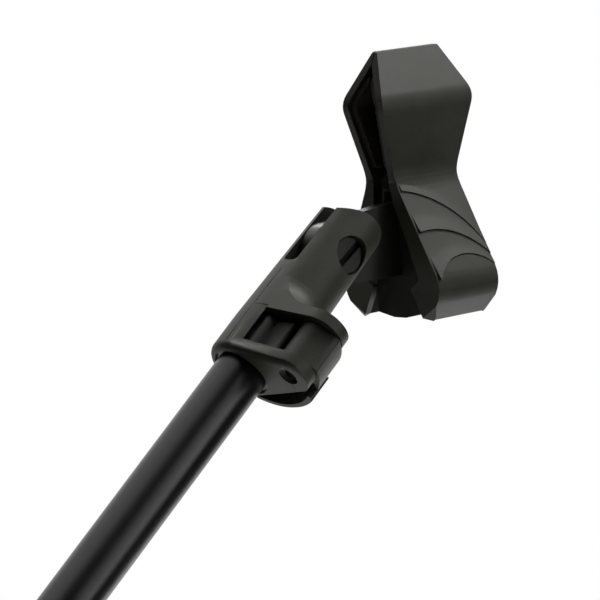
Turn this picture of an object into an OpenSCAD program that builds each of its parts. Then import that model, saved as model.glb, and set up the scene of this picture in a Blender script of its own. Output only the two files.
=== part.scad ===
// Sprung clip on a tilting clevis head, clamped to a pole tube by a cam lever.
// Millimetres. +Z runs up the pole, the origin is the centre of the tube's cut lower end.
// The screw head and the cam lever face -Y, and the lever's arm lies on the +X side.

/* [Pole tube] */
// Outside diameter of the tube
tube_od = 16; // [14:0.5:17]
// Wall thickness of the tube
tube_wall = 1.2; // [0.8:0.1:2]
// Length of tube below the clutch body
tube_exposed = 125; // [60:5:400]
// Length of tube inside the clutch body
tube_insert = 30; // [26:0.5:30.5]

/* [Liner sleeve] */
// Wall thickness of the split sleeve
liner_wall = 1; // [0.9:0.1:1.2]
// Length of the sleeve
liner_length = 26; // [23:0.5:27]
// Height of the sleeve's lower end above the body's lower end
liner_recess = 0.9; // [0.5:0.1:1.5]
// Width of the slit down the sleeve's back
liner_slit = 1.5; // [1:0.1:3]
// Height of the snap rib round the sleeve's top end
rib_height = 1.6; // [1.2:0.1:2]
// How far the snap rib stands out of the sleeve
rib_depth = 0.45; // [0.3:0.05:0.5]

/* [Clutch body] */
// Radius of the body round the tube
body_radius = 11.5; // [11.3:0.1:11.8]
// Radius of the neck at the top of the cheeks
neck_radius = 10.15; // [9.9:0.05:10.4]
// Radius of the rounded lower edge
body_edge_round = 2.2; // [1:0.1:2.5]
// Thickness of the lower flange
lower_flange = 4.3; // [3.8:0.1:4.5]
// Height of the window between the two flanges
window_height = 13.1; // [12.5:0.1:14]
// Thickness of the upper flange at its tip
upper_flange = 3.5; // [3:0.1:4.5]
// Distance from the tube's centre to the window's back edge
window_back = 5; // [4.5:0.1:6]
// Height over which the upper flange sweeps up into the neck
sweep_height = 9; // [8:0.5:11]
// Tip radius of the lower flange
lower_tip_radius = 6.7; // [6.5:0.1:7.5]
// Tip radius of the upper flange
upper_tip_radius = 7.7; // [7:0.1:8.5]
// Half width left by the cut on the lever's side, at the front of the flange
trim_front = 4.75; // [4.5:0.05:5]
// Half width left by the cut on the lever's side, behind the tube
trim_back = 11.9; // [11.8:0.05:12.2]
// Depth of the tube's socket
socket_depth = 31; // [31:0.5:32]

/* [Cam lever] */
// Distance from the tube's centre to the lever pin
pin_reach = 20.4; // [20.2:0.1:20.7]
// Diameter of the hollow lever pin
pin_diameter = 6.2; // [5.4:0.1:6.2]
// Bore of the hollow lever pin
pin_bore = 4.2; // [3:0.1:4.5]
// Radius of the cam barrel
barrel_radius = 5.4; // [5.3:0.05:5.6]
// Offset of the cam barrel from its pin
cam_throw = 0.4; // [0.3:0.05:0.5]
// Radius of the lever's bowed outer face
bow_radius = 21.5; // [21.2:0.1:21.8]
// Wall thickness of the lever's shell
lever_wall = 1.3; // [1.2:0.1:1.5]
// How far the thumb pad stands out of the lever
thumb_pad = 0.6; // [0.3:0.1:1]
// Width of the clamp shoe
shoe_width = 10.8; // [9:0.1:11]
// Height of the clamp shoe
shoe_height = 11.6; // [9:0.1:12]

/* [Clevis] */
// Height of the tilt screw above the body's lower end
screw_height = 49.1; // [48.5:0.1:50]
// Diameter of the tilt screw's shank
screw_diameter = 5; // [4:0.5:5]
// Diameter of the tilt screw's head
head_diameter = 10.8; // [10:0.1:11]
// Thickness of the tilt screw's head
head_thickness = 1.5; // [1.3:0.1:1.7]
// Width of the driver slot in the head
driver_slot = 2.2; // [1.2:0.1:2.4]
// Width of the slot between the cheeks
cheek_slot = 5.2; // [5.2:0.1:5.6]
// Height of the slot's floor above the body's lower end
slot_floor = 36.2; // [35.5:0.1:37]
// Radius of the cheeks' round top about the screw
cheek_round = 14.1; // [12.5:0.1:15]
// Thickness of the washer under the screw's head
washer_thickness = 0.7; // [0.5:0.1:0.9]
// Thickness of each friction disc beside the tongue
disc_thickness = 0.4; // [0.3:0.05:0.5]
// Width across the flats of the nut
nut_flats = 8; // [7:0.1:8]
// Thickness of the nut
nut_thickness = 3.2; // [2.7:0.1:3.2]

/* [Clip] */
// Lean of the clip from upright, towards -X
tilt_angle = 52.3; // [0:0.1:90]
// Distance along the clip from the screw to the near end of the tips
clip_reach = 24.7; // [24:0.1:26]
// Height of the tips above the screw, along the clip
clip_rise = 58.6; // [58:0.1:60]
// Length of the tips along the hinge
tip_length = 25.7; // [25:0.1:27]
// How far the bend reaches past the tips at the near end
bend_near = 7.2; // [6:0.1:8]
// How far the bend reaches past the tips at the far end
bend_far = 6.4; // [5:0.1:7]
// Thickness of the jaw's bent plate
plate_thickness = 2.5; // [2.3:0.1:2.5]
// Thickness of the rubber lining
pad_thickness = 2.4; // [2:0.1:2.5]
// Thickness of the handle's end walls
end_wall = 2.2; // [1.8:0.1:2.3]
// Diameter of the hinge pin
hinge_diameter = 2.4; // [2.2:0.1:2.5]
// Outside radius of the hinge knuckles
knuckle_radius = 2.35; // [2.2:0.05:2.4]
// Thickness of the tilting tongue
tongue_thickness = 4.2; // [4:0.05:4.2]
// Radius of the tongue's round end about the screw
tongue_round = 10; // [9:0.1:11]
// Half thickness of the core block at its heel
core_half = 9.3; // [8:0.1:9.4]
// Diameter of the spring wire
wire_diameter = 0.7; // [0.6:0.05:0.7]
// Full turns in each spring
spring_turns = 2; // [2:1:2]

/* [Hidden] */
$fn = 64;

// Radial clearances of running fits, and gaps between pieces that pass each other
running_fit = 0.05;
seat_gap = 0.05;
overshoot = 1;
reach_through = 60;

// Heights in the clutch body, above its lower end
tube_radius = tube_od / 2;
liner_bore = tube_radius + running_fit;
liner_radius = liner_bore + liner_wall;
body_bore = liner_radius + running_fit;
window_top = lower_flange + window_height;
flange_top = window_top + upper_flange;
sweep_top = flange_top + sweep_height;
rib_base = liner_recess + liner_length - rib_height;
taper_start = 14;
taper_end = 62;
trim_front_y = -30;
trim_back_y = 12;
slot_corner = 1.5;
flange_lean = asin((body_radius - lower_tip_radius) / pin_reach);
edge_runout = 1.6;
edge_flare = 0.6;
edge_step = 0.05;
window_hollow = 10.2;
hollow_back = 1.5;
body_taper = (body_radius - neck_radius) / (taper_end - taper_start);
sweep_root = body_radius - body_taper * (sweep_top - taper_start);

// Lever, pin and shoe
pin_radius = pin_diameter / 2;
pin_seat = pin_radius + 0.03;
pin_lower = 1.3;
pin_upper = window_top + 2.6;
barrel_y = -(pin_reach - cam_throw);
cam_face = pin_reach - cam_throw - barrel_radius;
lever_gap = 0.3;
lever_low = lower_flange + lever_gap;
lever_high = window_top - lever_gap;
bow_x = -6.1;
bow_setback = 12.5;
bow_y = bow_setback - pin_reach;
bow_start = -68;
bow_end = 31;
bow_step = 0.1;
skirt_start = -40;
skirt_low = 1.2;
nose_tip = [0.6, -7.2];
nose_round = 3;
nose_sink = 0.1;
nose_end = -46;
hub_side = [5, 0];
web_back = [8.7, -8];
web_thickness = 1.5;
thumb_start = -34;
thumb_end = 5;
thumb_low = 1.8;
thumb_high = 11.2;
cam_gap = 0.08;
shoe_face = cam_face - cam_gap;
shoe_back = 7;
shoe_round = 1.2;
web_corner = [shoe_width / 2 + 1, -shoe_face];

// Screw stack, measured out from the clip's mid-plane
head_top = 8.3;
head_seat = head_top - head_thickness;
washer_seat = head_seat - seat_gap - washer_thickness;
recess_floor = washer_seat - seat_gap;
recess_radius = head_diameter / 2 + 0.5;
screw_radius = screw_diameter / 2;
screw_bore = screw_radius + running_fit;
slot_depth = 1.1;
slot_lean = 4;
nut_seat = 5.65;
pocket_floor = nut_seat - seat_gap;
nut_gap = 0.1;
screw_tip = nut_seat + nut_thickness + 0.3;
disc_radius = 8.5;
disc_seat = tongue_thickness / 2 + seat_gap;
washer_radius = 5;

// Jaw section: corners as distance out from the mid-plane, depth below the tips, corner radius
mid_gap = 0.15;
tip = [0.88, 0];
bend = [9.1, 15.3];
hinge_depth = 40;
handle_length = 32.3;
waist_rise = 0.8;
waist = [5.83, hinge_depth - waist_rise];
heel = [21.9, hinge_depth + handle_length];
toe = heel + [-6.5, 10];
bend_round = 10.5;
bend_corner = 8;
waist_round = 14;
heel_round = 9.5;
handle_lean = atan2(heel[0] - waist[0], heel[1] - waist[1]);
waist_near = 1.2;
waist_far = 0.7;
heel_near = 0.3;
heel_far = -0.2;
wall_top = [4.4, hinge_depth + 7];
wall_middle = [8, hinge_depth + 16];
wall_round = 4;
lip_top = heel + [-10, -2.6];
lip = heel + [-13.8, 0];
toe_inner = heel + [-9.4, 8.8];
toe_bevel = heel + [-0.3, 3];
bevel_turn = atan2(toe_bevel[0] - toe_inner[0], toe_inner[1] - toe_bevel[1]);
knuckle_web_low = -1.5;
knuckle_web_height = 3.5;
lining_top = 7.5;
lining_end = hinge_depth - 4.5;
lining_inset = 1.2;
glue_line = 0.05;
cavity_top = hinge_depth + 1.2;
cavity_out = heel[0] - 6.1;
knuckle_gap = 0.3;
knuckle_near = 1;
knuckle_far = 1.9;
coil_length = 3.7;
eye_length = 1.6;
knuckle_space = tip_length - knuckle_near - knuckle_far - eye_length - 2 * coil_length - 6 * knuckle_gap;
knuckle_length = knuckle_space / 4;
front_knuckles = [knuckle_near, tip_length - knuckle_far - knuckle_length];
rear_knuckles = [knuckle_near + knuckle_length + knuckle_gap,
    front_knuckles[1] - knuckle_gap - knuckle_length];
front_coil = rear_knuckles[0] + knuckle_length + knuckle_gap;
eye_start = front_coil + coil_length + knuckle_gap;
rear_coil = eye_start + eye_length + knuckle_gap;
hinge_start = 0.4;
hinge_end = tip_length - 1.3;
core_start = 3;
core_end = tip_length - heel_far - end_wall - 0.8;
core_top = hinge_depth + 3.2;
core_heel = heel[1] + 0.7;
core_bottom = heel[1] + 8.1;
core_foot = [2.5, core_bottom + 1.4];
core_round = 0.8;
tongue_low = -tongue_round;
tongue_high = clip_rise - core_top - 2.6;
wire_radius = wire_diameter / 2;
coil_radius = hinge_diameter / 2 + 0.15 + wire_radius;
jaw_leg = 14;
core_leg = 8;

// Thumb grips on each handle's flat, across from its near end and up from the heel's corner:
// centre and radius of the step, then centre and radius of the line where the rise starts
upper_step = [-6.6, -1.1, 34.9];
upper_rise = [-7.4, 2.7, 36];
middle_step = [4.5, -6.9, 26.5];
middle_rise = [2, -3.3, 29];
lower_step = [14.4, -5.6, 15.9];
lower_rise = [11.6, -6, 20.3];
grip_inset = 0.9;
grip_turn = atan((heel_near + waist_near) / norm(heel - waist));
grip_slope = 0.1;
grip_sink = 0.25;
grip_top = 1.2;
grip_low = 3.4;

black_plastic = [0.17, 0.17, 0.16];
dark_plastic = [0.1, 0.1, 0.1];
gloss_black = [0.05, 0.05, 0.055];
rubber = [0.14, 0.12, 0.1];
steel = [0.72, 0.73, 0.75];

// The inward normal of a section's edge, times a depth
function inward(p, q, d) = d * [p[1] - q[1], q[0] - p[0]] / norm(q - p);

// Where the edges p-q and q-r meet once both have moved inward by a depth
function inset(p, q, r, d) =
    let (a = q + inward(p, q, d), b = q + inward(q, r, d), u = q - p, v = r - q)
    a + u * (v[0] * (b[1] - a[1]) - v[1] * (b[0] - a[0])) / (v[0] * u[1] - v[1] * u[0]);

// The point at a given depth on the line through p and q
function at_depth(p, q, depth) = p + (q - p) * (depth - p[1]) / (q[1] - p[1]);

// The point at a given distance from the mid-plane on the line through p and q
function at_side(p, q, side) = p + (q - p) * (side - p[0]) / (q[0] - p[0]);

// One corner turned into an arc of its radius, between its two neighbours
function fillet(p, q, n, r, steps = 5) =
    r == 0 ? [q] :
    let (a = (p - q) / norm(p - q), b = (n - q) / norm(n - q), half = acos(a * b) / 2)
    let (centre = q + (a + b) / norm(a + b) * r / sin(half))
    let (first = q + a * r / tan(half) - centre, last = q + b * r / tan(half) - centre)
    let (start = atan2(first[1], first[0]), turn = atan2(last[1], last[0]) - start)
    let (sweep = turn > 180 ? turn - 360 : turn < -180 ? turn + 360 : turn)
    [for (i = [0:steps]) centre + r * [cos(start + sweep * i / steps), sin(start + sweep * i / steps)]];

// An outline from corners given as [x, y, radius]
function rounded(c) =
    let (n = len(c))
    [for (i = [0:n - 1])
        let (p = c[(i + n - 1) % n], q = c[i], s = c[(i + 1) % n])
        each fillet([p[0], p[1]], [q[0], q[1]], [s[0], s[1]], q[2])];

// Where the line from a point touches a circle about the origin, on the circle's left seen from the point
function touch(p, r) = let (a = atan2(p[1], p[0]) - acos(r / norm(p))) r * [cos(a), sin(a)];

// Corner with a radius
function corner(p, r) = [p[0], p[1], r];

// A section's corners turned to face -Y, with depth running down
function facing(c) = [for (p = c) [-p[0], -p[1], p[2]]];

module at_body() translate([0, 0, tube_exposed]) children();

module at_screw() at_body() translate([0, 0, screw_height]) children();

module in_clip() at_screw() rotate([0, -tilt_angle, 0]) children();

module at_tips() in_clip() translate([clip_reach, 0, clip_rise]) children();

module at_hinge() at_tips() translate([0, 0, -hinge_depth]) children();

// A cylinder along the screw's axis between two distances in front of the mid-plane
module across(r, from, to) translate([0, -from, 0]) rotate([90, 0, 0]) cylinder(r = r, h = to - from);

// A cylinder along the hinge
module lengthwise(r, from, to) translate([from, 0, 0]) rotate([0, 90, 0]) cylinder(r = r, h = to - from);

// A section carried along the hinge
module drawn(from, to, corners)
    translate([from, 0, 0]) rotate([90, 0, 90]) linear_extrude(to - from) polygon(rounded(facing(corners)));

// A flange's plate: the tip's circle and its tangents to a circle round the tube
module flange(root_radius, tip_radius, height) {
    lean = asin((root_radius - tip_radius) / pin_reach);
    right = [cos(lean), -sin(lean)];
    left = [-cos(lean), -sin(lean)];
    centre = [0, -pin_reach];
    translate(centre) cylinder(r = tip_radius, h = height);
    linear_extrude(height)
        polygon([root_radius * right, centre + tip_radius * right,
            centre + tip_radius * left, root_radius * left]);
}

// The lower flange's rounded edge on the side away from the lever, which runs out round the tip
module flange_edge() {
    high = lower_flange + overshoot;
    tip_reach = lower_tip_radius + edge_runout;
    mirror([1, 0, 0]) rotate([90, 0, -flange_lean]) translate([0, 0, -overshoot])
        linear_extrude(pin_reach * cos(flange_lean) + overshoot)
            polygon(rounded([[-reach_through, 0, 0], [body_radius, 0, body_edge_round],
                [body_radius + edge_flare, high, 0], [-reach_through, high, 0]]));
    translate([edge_runout * cos(flange_lean), edge_runout * sin(flange_lean) - pin_reach, edge_step])
        rotate_extrude()
            polygon(rounded([[0, 0, 0], [tip_reach, 0, body_edge_round], [tip_reach + edge_flare, high, 0],
                [0, high, 0]]));
}

// Body of revolution with its rounded lower edge and tapered neck
module body_turned()
    rotate_extrude()
        polygon(concat(
            rounded([[0, 0, 0], [body_radius, 0, body_edge_round], [body_radius, taper_start, 0]]),
            [[neck_radius, taper_end], [neck_radius, screw_height + cheek_round + overshoot],
             [0, screw_height + cheek_round + overshoot]]));

// The upper flange's sweep, hollow all round, up to the neck
module sweep_turned() {
    outer = body_radius + sweep_height;
    rim = outer + upper_tip_radius;
    rotate_extrude()
        polygon(concat(
            [[0, window_top], [rim, window_top], [rim, flange_top]],
            [for (i = [0:8]) [outer, sweep_top] + sweep_height * [-sin(i * 90 / 8), -cos(i * 90 / 8)]],
            [[0, sweep_top]]));
}

module clutch_body() color(black_plastic) at_body() difference() {
    union() {
        intersection() {
            body_turned();
            union() {
                translate([0, 0, screw_height]) rotate([90, 0, 0])
                    cylinder(r = cheek_round, h = reach_through, center = true);
                translate([-reach_through / 2, -reach_through / 2, 0])
                    cube([reach_through, reach_through, screw_height]);
            }
        }
        intersection() {
            translate([0, 0, -overshoot])
                flange(body_radius, lower_tip_radius, lower_flange + overshoot);
            flange_edge();
        }
        intersection() {
            translate([0, 0, window_top]) flange(sweep_root, upper_tip_radius, sweep_top - window_top);
            sweep_turned();
        }
    }
    translate([0, 0, -overshoot]) cylinder(r = body_bore, h = socket_depth + overshoot);
    translate([0, 0, rib_base - seat_gap])
        cylinder(r = body_bore + rib_depth, h = rib_height + 2 * seat_gap);
    translate([-reach_through / 2, -window_back - reach_through, lower_flange])
        cube([reach_through, reach_through, window_height]);
    translate([-window_hollow, -window_back - overshoot, lower_flange])
        cube([2 * window_hollow, window_back + overshoot - hollow_back, window_height]);
    translate([0, 0, -overshoot]) linear_extrude(lower_flange + overshoot)
        polygon([[trim_front, trim_front_y], [trim_back, trim_back_y],
            [reach_through, trim_back_y], [reach_through, trim_front_y]]);
    translate([0, -pin_reach, -overshoot]) cylinder(r = pin_seat, h = pin_upper + overshoot + seat_gap);
    translate([0, 0, screw_height]) {
        translate([0, 0, -screw_height])
            drawn(-reach_through / 2, reach_through / 2, [
                [-cheek_slot / 2, -slot_floor, slot_corner], [cheek_slot / 2, -slot_floor, slot_corner],
                [cheek_slot / 2, -reach_through - slot_floor, 0],
                [-cheek_slot / 2, -reach_through - slot_floor, 0]]);
        across(screw_bore, -reach_through / 2, reach_through / 2);
        across(recess_radius, recess_floor, reach_through / 2);
        translate([0, pocket_floor, 0]) rotate([-90, 0, 0])
            cylinder(r = (nut_flats / 2 + nut_gap) / cos(30), h = reach_through, $fn = 6);
    }
}

module pole_tube() color(gloss_black) difference() {
    cylinder(r = tube_radius, h = tube_exposed + tube_insert);
    translate([0, 0, -overshoot])
        cylinder(r = tube_radius - tube_wall, h = tube_exposed + tube_insert + 2 * overshoot);
}

module liner_sleeve() color(dark_plastic) at_body() difference() {
    union() {
        translate([0, 0, liner_recess]) cylinder(r = liner_radius, h = liner_length);
        translate([0, 0, rib_base]) cylinder(r = liner_radius + rib_depth, h = rib_height);
    }
    translate([0, 0, -overshoot]) cylinder(r = liner_bore, h = socket_depth);
    translate([-liner_slit / 2, 0, -overshoot]) cube([liner_slit, reach_through, socket_depth]);
}

module clamp_shoe() color(black_plastic) at_body() difference() {
    translate([0, 0, lever_low]) linear_extrude(shoe_height)
        polygon(rounded([[-shoe_width / 2, -shoe_face, shoe_round], [shoe_width / 2, -shoe_face, shoe_round],
            [shoe_width / 2, -shoe_back, 0], [-shoe_width / 2, -shoe_back, 0]]));
    cylinder(r = liner_radius + running_fit, h = reach_through);
}

module lever_pin() color(steel) at_body() translate([0, -pin_reach, pin_lower]) difference() {
    cylinder(r = pin_radius, h = pin_upper - pin_lower);
    translate([0, 0, -overshoot]) cylinder(d = pin_bore, h = pin_upper - pin_lower + 2 * overshoot);
}

// A curved wall of the lever about the centre of its bow
module bow(from_radius, to_radius, start, end, low, high)
    translate([bow_x, bow_y, low]) rotate([0, 0, start])
        rotate_extrude(angle = end - start, $fn = 128)
            translate([from_radius, 0]) square([to_radius - from_radius, high - low]);

module cam_lever() {
    height = lever_high - lever_low;
    inner = bow_radius - lever_wall;
    half_wall = lever_wall / 2;
    hub = [0, barrel_y];
    nose = rounded([corner(hub, 0), corner(hub + touch(nose_tip, barrel_radius), 0),
        corner(hub + nose_tip, nose_round), corner(bow_point(bow_start + 0.5, nose_sink), 0),
        corner(bow_point(nose_end, half_wall), 0), corner(hub + hub_side, 0)]);
    web_edge = [hub, hub + hub_side, web_corner, web_back];
    web_rim = [for (i = [0:10]) bow_point(bow_end - 1 + (bow_start - bow_end + 2) * i / 10, half_wall)];
    color(black_plastic) at_body() difference() {
        union() {
            difference() {
                bow(inner, bow_radius, bow_start, bow_end, skirt_low, lever_high - bow_step);
                bow(inner - overshoot, bow_radius + overshoot, bow_start - overshoot, skirt_start,
                    skirt_low - overshoot, lever_low + bow_step);
            }
            bow(bow_radius - half_wall, bow_radius + thumb_pad, thumb_start, thumb_end,
                thumb_low, thumb_high);
            translate([0, barrel_y, lever_low]) cylinder(r = barrel_radius, h = height);
            translate([0, 0, lever_low]) linear_extrude(height) polygon(nose);
            translate([0, 0, lever_high - web_thickness]) linear_extrude(web_thickness)
                polygon(concat(web_edge, web_rim));
        }
        translate([0, -pin_reach, 0]) cylinder(r = pin_radius + running_fit, h = lever_high + overshoot);
        cylinder(r = body_radius + lever_gap, h = lever_high + overshoot);
    }
}

// A point on the lever's bow at an angle about its centre, some depth inside the outer face
function bow_point(angle, depth = 0) = [bow_x, bow_y] + (bow_radius - depth) * [cos(angle), sin(angle)];

module tilt_screw() color(dark_plastic) at_screw() difference() {
    union() {
        across(screw_radius, -screw_tip, head_seat + seat_gap);
        across(head_diameter / 2, head_seat, head_top);
    }
    rotate([0, slot_lean, 0]) translate([-driver_slot / 2, -head_top - overshoot, -head_diameter])
        cube([driver_slot, slot_depth + overshoot, 2 * head_diameter]);
}

// A flat ring on the screw between two distances in front of the mid-plane
module screw_ring(r, from, to) at_screw() difference() {
    across(r, from, to);
    across(screw_bore, from - overshoot, to + overshoot);
}

module screw_washer() color(steel) screw_ring(washer_radius, washer_seat, head_seat - seat_gap / 2);

module front_friction_disc() color(rubber)
    screw_ring(disc_radius, disc_seat, disc_seat + disc_thickness);

module rear_friction_disc() color(rubber)
    screw_ring(disc_radius, -disc_seat - disc_thickness, -disc_seat);

module lock_nut() color(steel) at_screw() difference() {
    translate([0, nut_seat, 0]) rotate([-90, 0, 0])
        cylinder(r = nut_flats / 2 / cos(30), h = nut_thickness, $fn = 6);
    across(screw_bore, -reach_through / 2, 0);
}

// Front view of a jaw: narrow tips, wide bend, narrow waist, straight handle
function jaw_face(edge) = [
    [edge, 0, 1], [edge - bend_near, -bend[1], bend_corner], [edge - waist_near, -waist[1], 9],
    [edge + heel_near, -heel[1], 0], [edge + heel_near, -reach_through * 2, 0],
    [tip_length - heel_far - edge, -reach_through * 2, 0],
    [tip_length - heel_far - edge, -heel[1], 0], [tip_length - waist_far - edge, -waist[1], 9],
    [tip_length + bend_far - edge, -bend[1], bend_corner], [tip_length - edge, 0, 1]];

module jaw_face_prism(edge)
    rotate([90, 0, 0]) linear_extrude(reach_through, center = true) polygon(rounded(jaw_face(edge)));

inner_bend = inset(tip, bend, waist, plate_thickness);
inner_waist = inset(bend, waist, heel, plate_thickness);
inner_heel = heel + inward(waist, heel, plate_thickness);
inner_tip = at_side(inner_bend, inner_bend + bend - tip, mid_gap);
jaw_section = [
    [mid_gap, 0, 0], corner(tip, 0.4), corner(bend, bend_round), corner(waist, waist_round),
    corner(heel, heel_round), corner(toe, 1), corner(toe_inner, 0.5), corner(lip, 0.5),
    corner(lip_top, 0.5), corner(wall_middle, wall_round), corner(wall_top, 3),
    corner(inner_waist, 3), corner(inner_bend, 2), corner(inner_tip, 0)];
cavity_section = [
    [-cavity_out, cavity_top, 0], corner(at_depth(inner_waist, inner_heel, cavity_top), 0),
    corner(at_side(inner_waist, inner_heel, cavity_out), 2), [cavity_out, reach_through * 2, 0],
    [-cavity_out, reach_through * 2, 0]];

// One thumb grip: a low cone that rises down the handle and ends in a curved step
module grip(step, rise) difference() {
    translate([rise[0], rise[1], -grip_sink])
        cylinder(r1 = rise[2] + grip_sink / grip_slope, r2 = rise[2] - grip_top / grip_slope,
            h = grip_sink + grip_top);
    translate([step[0], step[1], -grip_sink - overshoot])
        cylinder(r = step[2], h = grip_sink + grip_top + 2 * overshoot);
    translate([heel_near + grip_inset, 0, 0]) rotate([0, 0, grip_turn])
        translate([-2 * reach_through, -reach_through, -reach_through])
            cube([2 * reach_through, 2 * reach_through, 2 * reach_through]);
    translate([-reach_through, grip_low - 2 * reach_through, -reach_through])
        cube([2 * reach_through, 2 * reach_through, 2 * reach_through]);
}

// What the bevel takes off the toe of one end wall, whose outer face is at a given place
module toe_cut(face, outward)
    translate([0, -toe_bevel[0], -toe_bevel[1]]) rotate([bevel_turn - 180, 0, 0])
        translate([face, 0, -reach_through / 2]) linear_extrude(reach_through)
            polygon([[outward * reach_through, -reach_through], [-outward * reach_through, reach_through],
                [outward * reach_through, reach_through]]);

module jaw(knuckles) {
    last = hinge_end + overshoot;
    difference() {
        union() {
            at_tips() intersection() {
                union() {
                    difference() {
                        drawn(-reach_through / 2, reach_through, jaw_section);
                        drawn(end_wall + heel_near, tip_length - heel_far - end_wall, cavity_section);
                    }
                    translate([0, -heel[0], -heel[1]]) rotate([90 - handle_lean, 0, 0]) {
                        grip(upper_step, upper_rise);
                        grip(middle_step, middle_rise);
                        grip(lower_step, lower_rise);
                    }
                }
                jaw_face_prism(0);
            }
            at_hinge() for (start = knuckles) {
                lengthwise(knuckle_radius, start, start + knuckle_length);
                translate([start, -inner_waist[0] - plate_thickness / 2, knuckle_web_low])
                    cube([knuckle_length, inner_waist[0] + plate_thickness / 2, knuckle_web_height]);
            }
        }
        at_hinge() lengthwise(hinge_diameter / 2 + running_fit, -overshoot, last);
        at_tips() {
            toe_cut(heel_near, -1);
            toe_cut(tip_length - heel_far, 1);
        }
    }
}

module lining() {
    outer_bend = inset(tip, bend, waist, plate_thickness + glue_line);
    outer_waist = inset(bend, waist, heel, plate_thickness + glue_line);
    deep_bend = inset(tip, bend, waist, plate_thickness + pad_thickness);
    deep_waist = inset(bend, waist, heel, plate_thickness + pad_thickness);
    at_tips() intersection() {
        drawn(-reach_through / 2, reach_through, [
            corner(at_depth(outer_bend, outer_bend + bend - tip, lining_top), 0), corner(outer_bend, 2),
            corner(at_depth(outer_bend, outer_waist, lining_end), 0),
            corner(at_depth(deep_bend, deep_waist, lining_end), 0.6), corner(deep_bend, 2),
            corner(at_side(deep_bend, deep_bend + bend - tip, 2 * mid_gap), 0),
            [2 * mid_gap, lining_top, 0]]);
        jaw_face_prism(lining_inset);
    }
}

module front_jaw() color(black_plastic) jaw(front_knuckles);

module rear_jaw() color(black_plastic) mirror([0, 1, 0]) jaw(rear_knuckles);

module front_jaw_lining() color(rubber) lining();

module rear_jaw_lining() color(rubber) mirror([0, 1, 0]) lining();

module hinge_pin() color(steel) at_hinge() lengthwise(hinge_diameter / 2, hinge_start, hinge_end);

module clip_core() color(black_plastic) {
    slope = (core_half - knuckle_radius) / (core_heel - hinge_depth);
    top_half = knuckle_radius + slope * (core_top - hinge_depth);
    difference() {
        union() {
            in_clip() rotate([90, 0, 0]) linear_extrude(tongue_thickness, center = true) {
                circle(r = tongue_round);
                polygon([[0, tongue_low], [clip_reach + core_start + overshoot, tongue_low],
                    [clip_reach + core_start + overshoot, tongue_high], [0, tongue_round]]);
            }
            at_tips() drawn(core_start, core_end, [
                [top_half, core_top, 0.5], [core_half, core_heel, 2],
                [core_half, core_bottom, core_round], corner(core_foot, 3),
                [-core_foot[0], core_foot[1], 3], [-core_half, core_bottom, core_round],
                [-core_half, core_heel, 2], [-top_half, core_top, 0.5]]);
            at_hinge() {
                lengthwise(knuckle_radius, eye_start, eye_start + eye_length);
                translate([eye_start, -knuckle_radius / 2, hinge_depth - core_top - overshoot])
                    cube([eye_length, knuckle_radius, core_top - hinge_depth + overshoot]);
            }
        }
        in_clip() across(screw_bore, -reach_through / 2, reach_through / 2);
        at_hinge() lengthwise(hinge_diameter / 2 + seat_gap / 2, 0, hinge_end);
        at_hinge() for (start = [front_coil, rear_coil])
            translate([start, -knuckle_radius, -core_leg - overshoot])
                cube([coil_length, 2 * knuckle_radius, core_leg + overshoot]);
    }
}

// Wire swept along a path that never runs along the hinge
module wire(path) {
    sides = 8;
    last = len(path) - 1;
    rings = [for (i = [0:last])
        let (ahead = path[min(i + 1, last)] - path[max(i - 1, 0)], t = ahead / norm(ahead))
        let (side = [1, 0, 0] - t[0] * t, b = side / norm(side), n = cross(t, b))
        for (k = [0:sides - 1])
            path[i] + wire_radius * (cos(k * 360 / sides) * b + sin(k * 360 / sides) * n)];
    skin = [for (i = [0:last - 1], k = [0:sides - 1])
        let (a = i * sides + k, b = i * sides + (k + 1) % sides)
        each [[a, b, b + sides], [a, b + sides, a + sides]]];
    first_cap = [for (k = [0:sides - 1]) sides - 1 - k];
    last_cap = [for (k = [0:sides - 1]) last * sides + k];
    polyhedron(rings, concat(skin, [first_cap, last_cap]));
}

// Torsion spring about the hinge: one leg lies on the jaw's handle, the other in the core
module jaw_spring(start) {
    lean = handle_lean;
    sweep = 180 - lean + 360 * spring_turns;
    steps = 18 * spring_turns;
    first = start + wire_radius;
    rise = coil_length - 2 * wire_radius;
    coil = [for (i = [0:steps])
        let (turn = lean + sweep * i / steps)
        [first + rise * i / steps, -coil_radius * cos(turn), coil_radius * sin(turn)]];
    down = [0, -sin(lean), -cos(lean)];
    leg = [for (d = [jaw_leg, jaw_leg / 2, wire_diameter]) coil[0] + d * down];
    tail = [for (d = [wire_diameter, core_leg]) coil[steps] + [0, 0, -d]];
    pitch = rise * 360 / sweep;
    echo(least_gap_between_turns = pitch - wire_diameter);
    at_hinge() wire(concat(leg, coil, tail));
}

module front_jaw_spring() color(steel) jaw_spring(front_coil);

module rear_jaw_spring() color(steel) mirror([0, 1, 0]) jaw_spring(rear_coil);

pole_tube();
liner_sleeve();
clutch_body();
clamp_shoe();
cam_lever();
lever_pin();
tilt_screw();
screw_washer();
lock_nut();
front_friction_disc();
rear_friction_disc();
clip_core();
front_jaw();
rear_jaw();
front_jaw_lining();
rear_jaw_lining();
hinge_pin();
front_jaw_spring();
rear_jaw_spring();
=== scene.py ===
import math

import bmesh
import bpy
import numpy as np
from mathutils import Matrix, Vector


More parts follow.
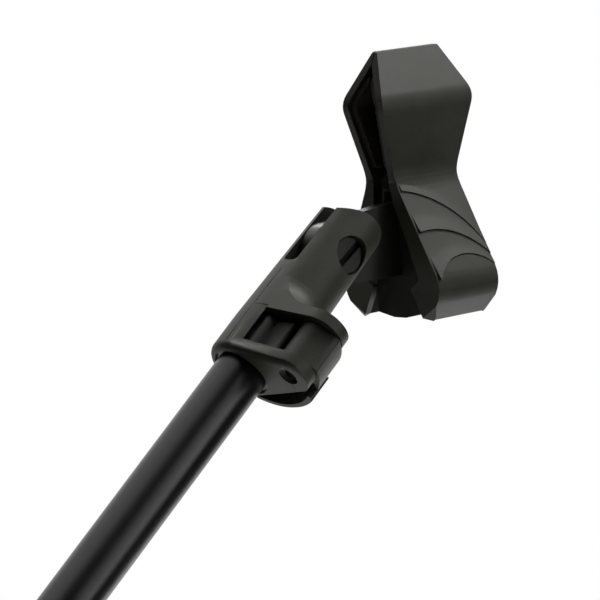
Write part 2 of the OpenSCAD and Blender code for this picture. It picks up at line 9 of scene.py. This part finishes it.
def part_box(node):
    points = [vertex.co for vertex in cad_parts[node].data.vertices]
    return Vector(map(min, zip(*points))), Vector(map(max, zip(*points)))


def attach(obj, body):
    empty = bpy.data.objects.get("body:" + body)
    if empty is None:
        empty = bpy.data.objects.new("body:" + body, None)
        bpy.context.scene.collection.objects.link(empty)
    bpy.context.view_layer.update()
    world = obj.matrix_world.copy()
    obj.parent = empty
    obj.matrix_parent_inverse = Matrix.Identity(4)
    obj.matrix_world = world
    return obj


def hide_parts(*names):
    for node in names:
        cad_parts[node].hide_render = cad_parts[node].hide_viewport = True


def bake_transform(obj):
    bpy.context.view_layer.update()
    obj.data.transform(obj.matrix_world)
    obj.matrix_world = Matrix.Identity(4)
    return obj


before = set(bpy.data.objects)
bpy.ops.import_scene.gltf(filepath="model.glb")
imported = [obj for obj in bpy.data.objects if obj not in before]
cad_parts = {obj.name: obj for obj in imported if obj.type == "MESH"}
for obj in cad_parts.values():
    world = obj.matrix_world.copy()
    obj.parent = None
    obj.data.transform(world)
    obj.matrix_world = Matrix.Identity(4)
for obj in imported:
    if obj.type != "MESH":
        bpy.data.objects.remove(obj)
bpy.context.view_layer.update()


# Pole tube: a drawn steel tube with a glossy black coating, cut square at its foot.
# Its upper end goes into the clutch body, so only the coating shows.

def finish(name, colour, roughness, grain_size, grain_depth, mottle, specular, streak=None, metallic=0.0):
    """A finish whose colour, gloss and fine relief vary over the surface, with its grain in metres."""
    clouds_per_metre = 90.0
    gloss_spread = 0.12
    relief_strength = 0.35
    made = bpy.data.materials.new(name)
    made.use_nodes = True
    nodes = made.node_tree.nodes
    links = made.node_tree.links
    shader = nodes["Principled BSDF"]
    shader.inputs["Specular IOR Level"].default_value = specular
    shader.inputs["Metallic"].default_value = metallic
    place = nodes.new("ShaderNodeTexCoord")

    cloud = nodes.new("ShaderNodeTexNoise")
    cloud.inputs["Scale"].default_value = clouds_per_metre
    cloud.inputs["Detail"].default_value = 4.0
    links.new(place.outputs["Object"], cloud.inputs["Vector"])

    tint = nodes.new("ShaderNodeValToRGB")
    darker, lighter = tint.color_ramp.elements
    darker.position = 0.3
    lighter.position = 0.75
    darker.color = [c * (1 - mottle) for c in colour] + [1]
    lighter.color = [c * (1 + mottle) for c in colour] + [1]
    links.new(cloud.outputs["Fac"], tint.inputs["Fac"])
    links.new(tint.outputs["Color"], shader.inputs["Base Color"])

    gloss = nodes.new("ShaderNodeMapRange")
    gloss.inputs["To Min"].default_value = roughness * (1 - gloss_spread)
    gloss.inputs["To Max"].default_value = roughness * (1 + gloss_spread)
    links.new(cloud.outputs["Fac"], gloss.inputs["Value"])
    links.new(gloss.outputs["Result"], shader.inputs["Roughness"])

    grain = nodes.new("ShaderNodeTexNoise")
    grain.inputs["Scale"].default_value = 1 / grain_size
    grain.inputs["Detail"].default_value = 3.0
    if streak:
        stretch = nodes.new("ShaderNodeMapping")
        stretch.inputs["Scale"].default_value = streak
        links.new(place.outputs["Object"], stretch.inputs["Vector"])
        links.new(stretch.outputs["Vector"], grain.inputs["Vector"])
    else:
        links.new(place.outputs["Object"], grain.inputs["Vector"])
    relief = nodes.new("ShaderNodeBump")
    relief.inputs["Strength"].default_value = relief_strength
    relief.inputs["Distance"].default_value = grain_depth
    links.new(grain.outputs["Fac"], relief.inputs["Height"])
    links.new(relief.outputs["Normal"], shader.inputs["Normal"])
    return made


weld_gap = 2e-6
smooth_below = math.radians(30)
broken_above = math.radians(40)


def dress(node, material, edge=0):
    """Gives a CAD node whose shape is right its finish, and breaks its edges where it is moulded."""
    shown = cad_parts[node]
    shown.data.materials.clear()
    shown.data.materials.append(material)
    shown.data.shade_smooth()
    shown.data.set_sharp_from_angle(angle=smooth_below)
    if edge:
        joined = shown.modifiers.new("joined_faces", "WELD")
        joined.merge_threshold = weld_gap
        broken = shown.modifiers.new("broken_edges", "BEVEL")
        broken.width = edge
        broken.segments = 2
        broken.limit_method = "ANGLE"
        broken.angle_limit = broken_above
        even = shown.modifiers.new("even_flats", "WEIGHTED_NORMAL")
        even.keep_sharp = True


gloss_coat = finish("gloss_black_coat", colour=(0.01, 0.01, 0.01), roughness=0.3, grain_size=0.0015,
                    grain_depth=0.00002, mottle=0.15, specular=0.43, streak=(1, 1, 0.05))
dress("pole_tube", gloss_coat)


# Liner sleeve: a split sleeve of slippery black plastic inside the clutch body.
# The shoe squeezes it on the tube; it shows in the body's window and at its lower lip.
smooth_plastic = finish("smooth_black_plastic", colour=(0.024, 0.024, 0.02), roughness=0.34,
                        grain_size=0.0006, grain_depth=0.00002, mottle=0.2, specular=0.5)
dress("liner_sleeve", smooth_plastic)


# Clutch body: one moulding of satin black plastic with a fine grain, its edges broken by the mould.
# It holds the sleeve below, the cam lever in its window and the clip's tongue between its cheeks.
# The mould's parting line and its insert's edge show as near-black hairlines on its left side, painted shade
# of the fine groove at each joint.
satin_plastic = finish("satin_black_plastic", colour=(0.045, 0.0452, 0.034), roughness=0.5,
                       grain_size=0.0003, grain_depth=0.00014, mottle=0.16, specular=0.3)
dress("clutch_body", satin_plastic, edge=0.0003)
bpy.context.view_layer.update()

clutch_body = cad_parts["clutch_body"]
body_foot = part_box("clutch_body")[0].z
outside_body = 0.03
hairline_radius = 0.00015
hairline_sink = 0.00008


def placed(name, data):
    """An object in the scene that shows the given mesh, lamp or camera."""
    shown = bpy.data.objects.new(name, data)
    bpy.context.scene.collection.objects.link(shown)
    return shown


def mould_line(name, stops, material):
    """A hairline on the body's skin through stops, each a turn in degrees and a height above the foot."""
    spots = []
    for turn, height in stops:
        out = Vector((math.cos(math.radians(turn)), math.sin(math.radians(turn)), 0))
        skin = clutch_body.ray_cast(outside_body * out + Vector((0, 0, body_foot + height)), -out)[1]
        spots.append(skin - hairline_sink * out)
    shape = bmesh.new()
    for start, end in zip(spots, spots[1:]):
        run = end - start
        rod = bmesh.ops.create_cone(shape, cap_ends=True, segments=12, radius1=hairline_radius,
                                    radius2=hairline_radius, depth=run.length)
        along = run.to_track_quat("Z", "Y").to_matrix().to_4x4()
        bmesh.ops.transform(shape, matrix=Matrix.Translation((start + end) / 2) @ along, verts=rod["verts"])
    mesh = bpy.data.meshes.new(name)
    shape.to_mesh(mesh)
    shape.free()
    mesh.materials.append(material)
    mesh.shade_smooth()
    line = placed(name, mesh)
    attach(line, "head")


# Painted shade: a near-black finish that stands for the shade in the screw's driver slot and in the fine
# grooves along the mould's joints.
painted_shade = finish("painted_shade", colour=(0.008, 0.008, 0.007), roughness=0.6, grain_size=0.0005,
                     grain_depth=0.00002, mottle=0.2, specular=0.1)
parting_heights = (0.0028, 0.0126, 0.0185, 0.0245, 0.0325)
# Painted shade: the hairlines are near black so that they stand for the shade in the joints' grooves.
mould_line("parting_line", [(180, height) for height in parting_heights], painted_shade)
mould_line("insert_line", [(-179, 0.0177), (-170, 0.0178), (-162, 0.018), (-154, 0.0183)], painted_shade)


# Clamp shoe, cam lever and its hollow pin: the lever's eccentric barrel presses the shoe on the sleeve.
# Shoe and lever are the body's plastic, and the pin is a rolled steel tube.
dress("clamp_shoe", satin_plastic, edge=0.0002)
dress("cam_lever", satin_plastic, edge=0.00025)
bright_steel = finish("bright_steel", colour=(0.72, 0.73, 0.75), roughness=0.24, grain_size=0.0004,
                      grain_depth=0.00001, mottle=0.06, specular=0.5, streak=(1, 1, 0.1), metallic=1.0)
dress("lever_pin", bright_steel)


# Tilt screw with its washer, friction discs and nut: they clamp the tongue between the cheeks.
# The head is black with a wide driver slot, whose floor is painted near black as painted shade, because the
# modelled slot is shallower than the real one; the rest is inside the head.
black_steel = finish("black_steel", colour=(0.032, 0.032, 0.027), roughness=0.4, grain_size=0.0004,
                     grain_depth=0.00002, mottle=0.2, specular=0.4)
dress("tilt_screw", black_steel, edge=0.0002)
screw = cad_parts["tilt_screw"].data
screw.materials.append(painted_shade)
head_face = min(face.center.y for face in screw.polygons)
below_head_face = head_face + 0.0005
# Painted shade: the faces of the slot's floor get the near-black finish.
for face in screw.polygons:
    faces_driver = face.normal.y < -0.9
    if faces_driver and face.center.y > below_head_face:
        face.material_index = 1
dress("screw_washer", bright_steel)
dress("lock_nut", bright_steel)
dark_rubber = finish("dark_rubber", colour=(0.034, 0.029, 0.023), roughness=0.72, grain_size=0.0005,
                     grain_depth=0.00008, mottle=0.3, specular=0.2)
dress("front_friction_disc", dark_rubber)
dress("rear_friction_disc", dark_rubber)


# Clip core: the block between the handles with the flat tongue that tilts in the cheeks.
# It is moulded with the tongue in a smoother plastic and carries the hinge pin.
dress("clip_core", smooth_plastic, edge=0.00025)
dress("hinge_pin", black_steel)


# Jaw springs: two torsion springs of bright steel wire, coiled round the hinge pin.
# Each one's tail stays in the core while its leg goes with its jaw, so the coil winds up between them.

def merged_copy(node, name):
    """A mesh of its own with a CAD node's shape, its loose triangles joined."""
    shape = bmesh.new()
    shape.from_mesh(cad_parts[node].data)
    bmesh.ops.remove_doubles(shape, verts=shape.verts, dist=weld_gap)
    mesh = bpy.data.meshes.new(name)
    shape.to_mesh(mesh)
    shape.free()
    return mesh


def wound_spring(jaw):
    """A jaw's spring in bright steel: a welded copy of its CAD node, which it stands in for."""
    node = jaw + "_spring"
    mesh = merged_copy(node, node + "_wound")
    mesh.materials.append(bright_steel)
    mesh.shade_smooth()
    spring = placed(node + "_wound", mesh)
    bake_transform(spring)
    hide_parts(node)


wound_spring("front_jaw")
wound_spring("rear_jaw")


# Jaws: two bent mouldings of the body's plastic, mirror images of each other.
# Each is hollow behind its handle and swings on the hinge pin by its knuckles.
dress("front_jaw", satin_plastic, edge=0.0001)
dress("rear_jaw", satin_plastic, edge=0.0001)


# Jaw linings: strips of dark rubber glued inside the gripping bend.
# They are soft mouldings, so their edges are rounded and no facet shows on their skin.

def even_normals(mesh, rounds, limit):
    """Averages the normals along the skin but not over its edges, so that no facet shows."""
    count = len(mesh.vertices)
    normals = np.empty(count * 3, dtype=np.float32)
    mesh.vertex_normals.foreach_get("vector", normals)
    normals = normals.reshape(count, 3)
    ends = np.empty(len(mesh.edges) * 2, dtype=np.int32)
    mesh.edges.foreach_get("vertices", ends)
    first, second = ends.reshape(-1, 2).T
    for _ in range(rounds):
        alike = (normals[first] * normals[second]).sum(axis=1) > math.cos(limit)
        a, b = first[alike], second[alike]
        total = normals.copy()
        for axis in range(3):
            total[:, axis] += np.bincount(a, normals[b, axis], count)
            total[:, axis] += np.bincount(b, normals[a, axis], count)
        normals = total / np.linalg.norm(total, axis=1, keepdims=True)
    mesh.normals_split_custom_set_from_vertices(normals)


def soft_lining(jaw):
    """A jaw's lining with an even skin and rounded edges, which stands for the CAD node."""
    node = jaw + "_lining"
    solid = merged_copy(node, node + "_solid")
    lining = placed(node + "_moulded", solid)
    skin = lining.modifiers.new("even_skin", "REMESH")
    skin.mode = "VOXEL"
    skin.voxel_size = 0.0003
    edges = lining.modifiers.new("rounded_edges", "SMOOTH")
    edges.factor = 0.5
    edges.iterations = 4
    ready = lining.evaluated_get(bpy.context.evaluated_depsgraph_get())
    mesh = bpy.data.meshes.new_from_object(ready)
    mesh.name = node + "_moulded"
    lining.modifiers.clear()
    lining.data = mesh
    bpy.data.meshes.remove(solid)
    mesh.materials.append(dark_rubber)
    mesh.shade_smooth()
    even_normals(mesh, rounds=40, limit=math.radians(22))
    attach(lining, jaw)
    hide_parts(node)


soft_lining("front_jaw")
soft_lining("rear_jaw")


# Camera at the photograph's angle: below the collar, on the screw's side, rolled so that the pole leans.
# It aims at the middle of the picture, which is beside the screw.
collar = Vector((0, 0, body_foot))
azimuth = math.radians(-34.942)
elevation = math.radians(-25.458)
roll = math.radians(36.69)
distance = 1.12484
pixels_per_metre = 3398.0
picture_pixels = 600
picture_middle = picture_pixels / 2
collar_pixel = (241.05, 372.75)
towards_camera = Vector((math.sin(azimuth) * math.cos(elevation),
                         -math.cos(azimuth) * math.cos(elevation), math.sin(elevation)))
level_right = (-towards_camera).cross(Vector((0, 0, 1))).normalized()
level_up = level_right.cross(-towards_camera)
picture_right = math.cos(roll) * level_right + math.sin(roll) * level_up
picture_up = math.cos(roll) * level_up - math.sin(roll) * level_right
focal_pixels = pixels_per_metre * distance
aim = (-towards_camera + picture_right * (picture_middle - collar_pixel[0]) / focal_pixels
       - picture_up * (picture_middle - collar_pixel[1]) / focal_pixels).normalized()
up = (picture_up - picture_up.dot(aim) * aim).normalized()
right = aim.cross(up)
view = bpy.data.cameras.new("photo_view")
view.sensor_width = 36.0
view.lens = view.sensor_width * focal_pixels / picture_pixels
view.clip_end = 50.0
camera = placed("photo_view", view)
camera_turn = Matrix((right, up, -aim)).transposed().to_4x4()
camera.matrix_world = Matrix.Translation(collar + distance * towards_camera) @ camera_turn
bpy.context.scene.camera = camera


# Studio floor and surround: a pale floor well below the part, because the camera looks up at it.
# Both look white where they are seen, and give the part only a little light.

def seen_rays(tree):
    """The output that is 1 for the rays which show the background, direct or in metal and glass."""
    path = tree.nodes.new("ShaderNodeLightPath")
    direct = tree.nodes.new("ShaderNodeMath")
    direct.operation = "MAXIMUM"
    tree.links.new(path.outputs["Is Camera Ray"], direct.inputs[0])
    tree.links.new(path.outputs["Is Transmission Ray"], direct.inputs[1])
    seen = tree.nodes.new("ShaderNodeMath")
    seen.operation = "MAXIMUM"
    tree.links.new(direct.outputs["Value"], seen.inputs[0])
    tree.links.new(path.outputs["Is Glossy Ray"], seen.inputs[1])
    return seen.outputs["Value"]


floor_half = 30.0
floor_drop = 1.3
floor_shape = bmesh.new()
bmesh.ops.create_grid(floor_shape, x_segments=1, y_segments=1, size=floor_half)
bmesh.ops.translate(floor_shape, verts=floor_shape.verts, vec=(0, 0, -floor_drop))
floor_mesh = bpy.data.meshes.new("studio_floor")
floor_shape.to_mesh(floor_mesh)
floor_shape.free()
pale_floor = bpy.data.materials.new("pale_floor")
pale_floor.use_nodes = True
floor_tree = pale_floor.node_tree
floor_paint = floor_tree.nodes["Principled BSDF"]
floor_paint.inputs["Base Color"].default_value = (0.8, 0.8, 0.8, 1)
floor_paint.inputs["Emission Color"].default_value = (1, 1, 1, 1)
floor_level = floor_tree.nodes.new("ShaderNodeMapRange")
floor_level.inputs["To Max"].default_value = 0.75
floor_tree.links.new(seen_rays(floor_tree), floor_level.inputs["Value"])
floor_tree.links.new(floor_level.outputs["Result"], floor_paint.inputs["Emission Strength"])
floor_mesh.materials.append(pale_floor)
placed("studio_floor", floor_mesh)

world = bpy.data.worlds.new("white_surround")
world.use_nodes = True
bpy.context.scene.world = world
surround = world.node_tree
surround_level = surround.nodes.new("ShaderNodeMapRange")
surround_level.inputs["To Min"].default_value = 0.16
surround_level.inputs["To Max"].default_value = 1.0
surround.links.new(seen_rays(surround), surround_level.inputs["Value"])
surround_glow = surround.nodes["Background"]
surround_glow.inputs["Color"].default_value = (1, 1, 1, 1)
surround.links.new(surround_level.outputs["Result"], surround_glow.inputs["Strength"])


# Studio screens: dark cloth bent round the camera's side and a dark flag above it keep the plastic black.
# Three pale strips at the right, each brighter than the last, show only in the gloss, as on the tube.
clip_middle = collar + Vector((0, 0, 0.06))


def bent_screen(name, cloth, radius, turns, heights):
    """A screen bent round the clip between two turns off the camera, right being above 0, and two heights."""
    left_turn, right_turn = turns
    low, high = heights
    shape = bmesh.new()
    foot = clip_middle + radius * (-aim * math.cos(left_turn) + right * math.sin(left_turn)) + low * up
    shape.edges.new([shape.verts.new(foot), shape.verts.new(foot + (high - low) * up)])
    bmesh.ops.spin(shape, geom=shape.verts[:] + shape.edges[:], cent=clip_middle,
                   axis=up, angle=right_turn - left_turn, steps=32)
    mesh = bpy.data.meshes.new(name)
    shape.to_mesh(mesh)
    shape.free()
    mesh.materials.append(cloth)
    screen = placed(name, mesh)
    screen.visible_camera = False
    return screen


dark_cloth = bpy.data.materials.new("dark_cloth")
dark_cloth.use_nodes = True
dark_weave = dark_cloth.node_tree.nodes["Principled BSDF"]
dark_weave.inputs["Base Color"].default_value = (0.01, 0.01, 0.01, 1)
dark_weave.inputs["Specular IOR Level"].default_value = 0.0
bent_screen("dark_screen", dark_cloth, radius=1.4, turns=(-2.0, 2.3), heights=(-0.9, 1.25))
bent_screen("dark_flag", dark_cloth, radius=1.4, turns=(-0.5, 0.7), heights=(1.2, 2.2))

strip_turn = 0.23
first_strip = 0.63
for strip, strength in enumerate((0.5, 1.15, 2.4)):
    pale_cloth = bpy.data.materials.new("pale_cloth_%d" % strip)
    pale_cloth.use_nodes = True
    pale_weave = pale_cloth.node_tree.nodes["Principled BSDF"]
    pale_weave.inputs["Emission Color"].default_value = (1, 1, 1, 1)
    pale_weave.inputs["Emission Strength"].default_value = strength
    strip_start = first_strip + strip * strip_turn
    pale_strip = bent_screen("pale_strip_%d" % strip, pale_cloth, radius=1.3,
                             turns=(strip_start, strip_start + strip_turn), heights=(-0.3, 1.0))
    pale_strip.visible_diffuse = False


# Studio lamps: four soft square lamps round the clip, placed in the picture's own directions.
# Three strong ones stand above at the right, above behind it and below; a weak one fills in from the left.

def soft_lamp(name, offset, size, power):
    """A square lamp that faces the clip from an offset across, above and nearer than it in the picture."""
    across, above, nearer = offset
    spot = clip_middle + across * right + above * up - nearer * aim
    lamp = bpy.data.lights.new(name, "AREA")
    lamp.size = size
    lamp.energy = power
    facing = (clip_middle - spot).to_track_quat("-Z", "Y").to_matrix().to_4x4()
    placed(name, lamp).matrix_world = Matrix.Translation(spot) @ facing


soft_lamp("lamp_above", (0.56, 0.8, -0.15), size=0.5, power=7.3)
soft_lamp("lamp_left", (-0.45, 0.85, 0.1), size=1.0, power=0.8)
soft_lamp("lamp_below", (0.4, -0.78, -0.5), size=0.6, power=6.5)
soft_lamp("lamp_behind", (-0.1, 0.85, -0.6), size=0.5, power=6.0)
bpy.context.scene.view_settings.view_transform = "Standard"
